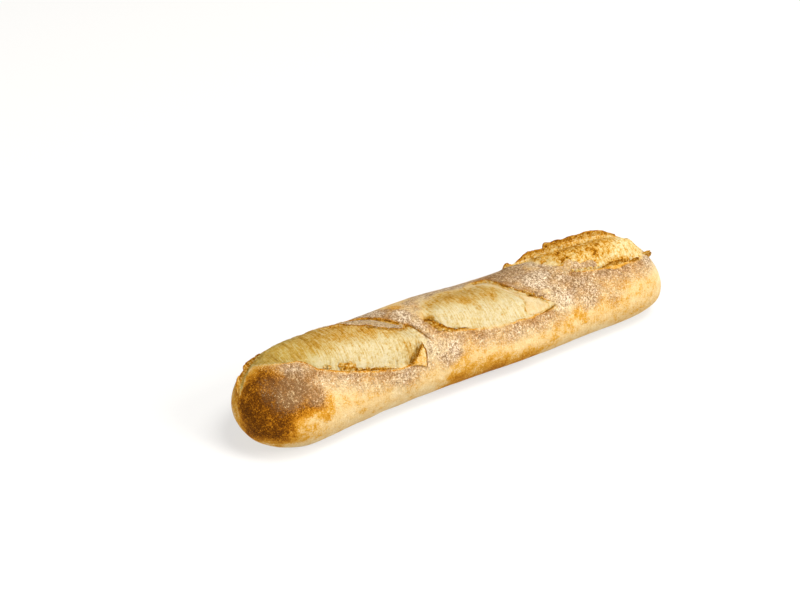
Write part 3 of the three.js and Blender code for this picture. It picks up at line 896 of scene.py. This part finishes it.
# --- Materials --------------------------------------------------------------------------
class Nodes:
    """Short calls for building a node tree."""

    def __init__(self, material):
        material.use_nodes = True
        self.tree = material.node_tree
        self.tree.nodes.clear()

    def add(self, kind, **settings):
        node = self.tree.nodes.new(kind)
        for name, value in settings.items():
            setattr(node, name, value)
        return node

    def link(self, source, target):
        if isinstance(source, (int, float)):
            target.default_value = source
        elif isinstance(source, tuple):
            target.default_value = source if len(source) == 4 else (*source, 1.0)
        else:
            self.tree.links.new(source, target)

    def wire(self, node, sources):
        """Links or sets inputs of a node, by their names or numbers."""
        for name, source in sources.items():
            self.link(source, node.inputs[name])
        return node

    def mask(self, name):
        return self.add("ShaderNodeAttribute", attribute_name=name).outputs["Fac"]

    def math(self, operation, first, second):
        node = self.add("ShaderNodeMath", operation=operation)
        return self.wire(node, {0: first, 1: second}).outputs[0]

    def times(self, first, second):
        return self.math("MULTIPLY", first, second)

    def plus(self, first, second, share=1.0):
        """The first value plus a share of the second."""
        return self.math("ADD", first, self.times(second, share))

    def ramp(self, value, low, high, first=0.0, second=1.0):
        node = self.add("ShaderNodeMapRange", interpolation_type="SMOOTHSTEP")
        ends = {"From Min": low, "From Max": high, "To Min": first, "To Max": second}
        return self.wire(node, {"Value": value, **ends}).outputs["Result"]

    def noise(self, vector, scale, detail, roughness):
        """Noise centred on zero."""
        node = self.add("ShaderNodeTexNoise", noise_dimensions="3D")
        settings = {"Scale": scale, "Detail": detail, "Roughness": roughness}
        self.wire(node, {"Vector": vector, **settings})
        return self.math("SUBTRACT", node.outputs["Fac"], 0.5)

    def scaled(self, vector, factors):
        node = self.add("ShaderNodeVectorMath", operation="MULTIPLY")
        self.link(vector, node.inputs[0])
        node.inputs[1].default_value = factors
        return node.outputs[0]

    def mix(self, share, first, second):
        node = self.add("ShaderNodeMix", data_type="RGBA")
        return self.wire(node, {"Factor": share, 6: first, 7: second}).outputs[2]

    def tones(self, value, stops):
        """Colours that follow a value, through stops of (value, colour)."""
        node = self.add("ShaderNodeValToRGB")
        self.link(value, node.inputs["Fac"])
        elements = node.color_ramp.elements
        while len(elements) < len(stops):
            elements.new(0.5)
        for element, (place, colour) in zip(elements, stops):
            element.position = place
            element.color = (*colour, 1.0)
        return node.outputs["Color"]

    def bump(self, height, distance, normal=None):
        node = self.add("ShaderNodeBump")
        self.wire(node, {"Height": height, "Distance": distance, "Strength": 1.0})
        if normal is not None:
            self.link(normal, node.inputs["Normal"])
        return node.outputs["Normal"]

    def finish(self, sources):
        """Ends the tree in one shader with these inputs."""
        shader = self.wire(self.add("ShaderNodeBsdfPrincipled"), sources)
        self.wire(self.add("ShaderNodeOutputMaterial"), {"Surface": shader.outputs[0]})


# Tones of the bread as it bakes, as linear colours.
BAKE_TONES = (
    (0.00, (0.76, 0.66, 0.43)),
    (0.14, (0.70, 0.56, 0.28)),
    (0.30, (0.62, 0.41, 0.13)),
    (0.45, (0.56, 0.285, 0.032)),
    (0.60, (0.43, 0.165, 0.007)),
    (0.78, (0.22, 0.070, 0.002)),
    (1.00, (0.080, 0.024, 0.001)),
)
DUSTY_FILM = (0.67, 0.51, 0.33)
# Painted shade: a darker olive gold for the crumb toward the near end.
SHADE_OLIVE_GOLD = (0.40, 0.33, 0.08)
FLOUR_HAZE = (0.39, 0.29, 0.20)
FLOUR_DUST = (0.88, 0.74, 0.55)
TOASTED_DUST = (0.52, 0.36, 0.18)
BROWNED_FLOUR = (0.18, 0.095, 0.038)
# Painted shade for the floors of cracks and pits.
CREVICE_SHADE = (0.17, 0.080, 0.006)
GRAIN_RELIEF = 0.0022
STREAK_RELIEF = 0.0024


def bread_material():
    material = bpy.data.materials.new("bread_crust")
    n = Nodes(material)
    place = n.add("ShaderNodeTexCoord").outputs["Object"]
    layout = n.add("ShaderNodeAttribute", attribute_name="layout").outputs["Vector"]
    blotch = n.noise(place, 150.0, 3.0, 0.6)
    grain = n.noise(place, 480.0, 3.0, 0.8)
    drawn = n.noise(n.scaled(layout, (0.6, 0.17, 1.0)), 1.0, 3.0, 0.75)
    streak = n.noise(n.scaled(layout, (1.1, 0.10, 1.0)), 1.0, 4.0, 0.75)
    pores = n.noise(place, 1100.0, 2.0, 0.8)
    dust = n.noise(place, 640.0, 3.0, 0.95)
    streaks = n.times(streak, n.mask("streaky"))
    speckle = n.plus(n.plus(dust, drawn, 0.35), pores, 0.5)

    bake = finished_bake(n, blotch, grain, drawn, pores, streaks)
    colour = floured(n, baked_colour(n, bake), bake, blotch, speckle)
    normal = n.bump(n.plus(grain, dust, 0.5), GRAIN_RELIEF)
    n.finish({
        # painted shade laid over the bread's colour in cracks and pits
        "Base Color": n.mix(n.mask("crack_shade"), colour, CREVICE_SHADE),
        "Roughness": 0.7,
        "Specular IOR Level": 0.03,
        "Normal": n.bump(streaks, STREAK_RELIEF, normal),
    })
    return material


def finished_bake(n, blotch, grain, drawn, pores, streaks):
    """How far each place is baked, with the fine changes of the crust and of the crumb."""
    baked, flour, crumb, streaky = map(n.mask, ("bake", "flour", "crumb", "streaky"))
    coarse = n.ramp(n.math("ADD", baked, flour), 0.35, 1.0, 0.3, 1.15)
    fine = n.times(n.plus(n.times(drawn, 0.7), pores, 1.4), coarse)
    crust_change = n.plus(n.plus(n.times(blotch, 0.48), grain, 0.35), fine)
    flaky = n.times(n.plus(grain, pores, 0.5), n.ramp(streaky, 0.3, 1.0, 1.5, 0.85))
    crumb_change = n.plus(flaky, blotch, 0.38)
    crust = n.math("SUBTRACT", 1.0, crumb)
    change = n.plus(n.times(crust_change, crust), n.times(crumb_change, crumb))
    change = n.plus(change, streaks, 1.35)
    change = n.plus(change, n.times(drawn, n.math("SUBTRACT", crumb, streaky)), 1.5)
    change = n.math("MAXIMUM", change, n.times(baked, -0.5))
    return n.plus(n.math("ADD", baked, change), flour, 0.10)


def baked_colour(n, bake):
    """The tone of the bake, with a dusty film on pale crust and painted shade in darker olive gold
    on the crumb toward the near end.
    """
    crust = n.math("SUBTRACT", 1.0, n.mask("crumb"))
    film = n.times(crust, n.ramp(bake, 0.32, 0.48, 0.36, 0.0))
    colour = n.mix(film, n.tones(bake, BAKE_TONES), DUSTY_FILM)
    return n.mix(n.times(n.mask("olive_shade"), 0.45), colour, SHADE_OLIVE_GOLD)


def floured(n, colour, bake, blotch, speckle):
    """The colour under flour: a haze, pale dots, and browned gaps between the dots."""
    flour = n.mask("flour")
    haze = n.times(n.ramp(flour, 0.05, 0.9), n.ramp(blotch, -0.25, 0.15, 0.5, 0.9))
    colour = n.mix(haze, colour, n.mix(n.ramp(bake, 0.4, 0.8), FLOUR_HAZE, BROWNED_FLOUR))
    bare = n.math("SUBTRACT", 0.20, n.times(flour, 0.20))
    dots = n.ramp(n.math("SUBTRACT", speckle, bare), -0.03, 0.08)
    dots = n.times(dots, n.ramp(flour, 0.03, 0.3))
    dusted = n.mix(n.ramp(bake, 0.45, 0.75), FLOUR_DUST, TOASTED_DUST)
    colour = n.mix(n.times(dots, 0.92), colour, dusted)
    browned = n.times(n.ramp(speckle, -0.01, -0.11), n.ramp(flour, 0.1, 0.7))
    return n.mix(browned, colour, BROWNED_FLOUR)


def floor_material():
    material = bpy.data.materials.new("pale_floor")
    Nodes(material).finish({
        "Base Color": (0.28, 0.276, 0.268),
        "Roughness": 0.9,
        "Specular IOR Level": 0.1,
        "Emission Color": (1.0, 0.997, 0.992),
        "Emission Strength": 0.57,
    })
    return material


# --- The studio -------------------------------------------------------------------------
IMAGE_WIDTH = 800
IMAGE_HEIGHT = 600
SENSOR_WIDTH = 36.0
CAMERA_AZIMUTH = -35.4  # degrees, like every azimuth and elevation here
CAMERA_ELEVATION = 30.0
CAMERA_DISTANCE = 1.3
FOCAL_PIXELS = 1818.1
LOAF_MIDDLE = Vector((0, 0, 0.030))
LOAF_PIXEL = (450.9, 328.5)
LIGHT_DISTANCE = 3.2
LIGHT_SIZE = 1.6
LIGHT_COLOUR = (1.0, 0.985, 0.96)
# The lights: name, azimuth, elevation and power.
LIGHTS = (("key", 28, 33, 106), ("top", 28, 68, 101), ("fill", -75, 22, 56))


def direction_to(azimuth, elevation):
    """The way out from the loaf, with the azimuth counted from the shown side."""
    turn = math.radians(azimuth)
    rise = math.radians(elevation)
    level = math.cos(rise)
    return Vector((math.sin(turn) * level, -math.cos(turn) * level, math.sin(rise)))


def build_camera():
    data = bpy.data.cameras.new("camera")
    data.sensor_width = SENSOR_WIDTH
    data.lens = FOCAL_PIXELS * SENSOR_WIDTH / IMAGE_WIDTH
    camera = bpy.data.objects.new("camera", data)
    bpy.context.collection.objects.link(camera)
    back = direction_to(CAMERA_AZIMUTH, CAMERA_ELEVATION)
    turn = (-back).to_track_quat("-Z", "Y")
    right = turn @ Vector((1, 0, 0))
    up = turn @ Vector((0, 1, 0))
    across = (LOAF_PIXEL[0] - IMAGE_WIDTH / 2) / FOCAL_PIXELS * CAMERA_DISTANCE
    down = (LOAF_PIXEL[1] - IMAGE_HEIGHT / 2) / FOCAL_PIXELS * CAMERA_DISTANCE
    camera.location = LOAF_MIDDLE + back * CAMERA_DISTANCE - right * across + up * down
    camera.rotation_mode = "QUATERNION"
    camera.rotation_quaternion = turn
    bpy.context.scene.camera = camera


def area_light(name, azimuth, elevation, power):
    data = bpy.data.lights.new(name, "AREA")
    data.shape = "DISK"
    data.size = LIGHT_SIZE
    data.energy = power
    data.color = LIGHT_COLOUR
    light = bpy.data.objects.new(name, data)
    bpy.context.collection.objects.link(light)
    back = direction_to(azimuth, elevation)
    light.location = back * LIGHT_DISTANCE
    light.rotation_mode = "QUATERNION"
    light.rotation_quaternion = (-back).to_track_quat("-Z", "Y")


def build_light():
    scene = bpy.context.scene
    scene.view_settings.view_transform = "Standard"
    world = bpy.data.worlds.new("soft_white")
    scene.world = world
    world.use_nodes = True
    sky = world.node_tree.nodes["Background"]
    sky.inputs["Color"].default_value = (1.0, 0.99, 0.97, 1)
    sky.inputs["Strength"].default_value = 0.38
    for light in LIGHTS:
        area_light(*light)


def build_floor():
    size = 4.0
    mesh = bpy.data.meshes.new("floor")
    corners = [(-size, -size, 0), (size, -size, 0), (size, size, 0), (-size, size, 0)]
    mesh.from_pydata(corners, [], [(0, 1, 2, 3)])
    floor = bpy.data.objects.new("floor", mesh)
    bpy.context.collection.objects.link(floor)
    mesh.materials.append(floor_material())


build_camera()
bread = bread_material()
loaf, middle = build_loaf()
ears = [ear_mesh(ear, 101 + 10 * number) for number, ear in enumerate(EARS)]
crumbs = []
for number, heap in enumerate(CRUMB_HEAPS):
    crumbs += crumb_heap(heap, 301 + 10 * number)
pieces = [loaf, build_pieces("torn_ears", ears, middle), build_pieces("crumbs", crumbs, middle)]
for piece in pieces:
    piece.data.materials.append(bread)
    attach(piece, "root")
    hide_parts("loaf")
build_floor()
build_light()
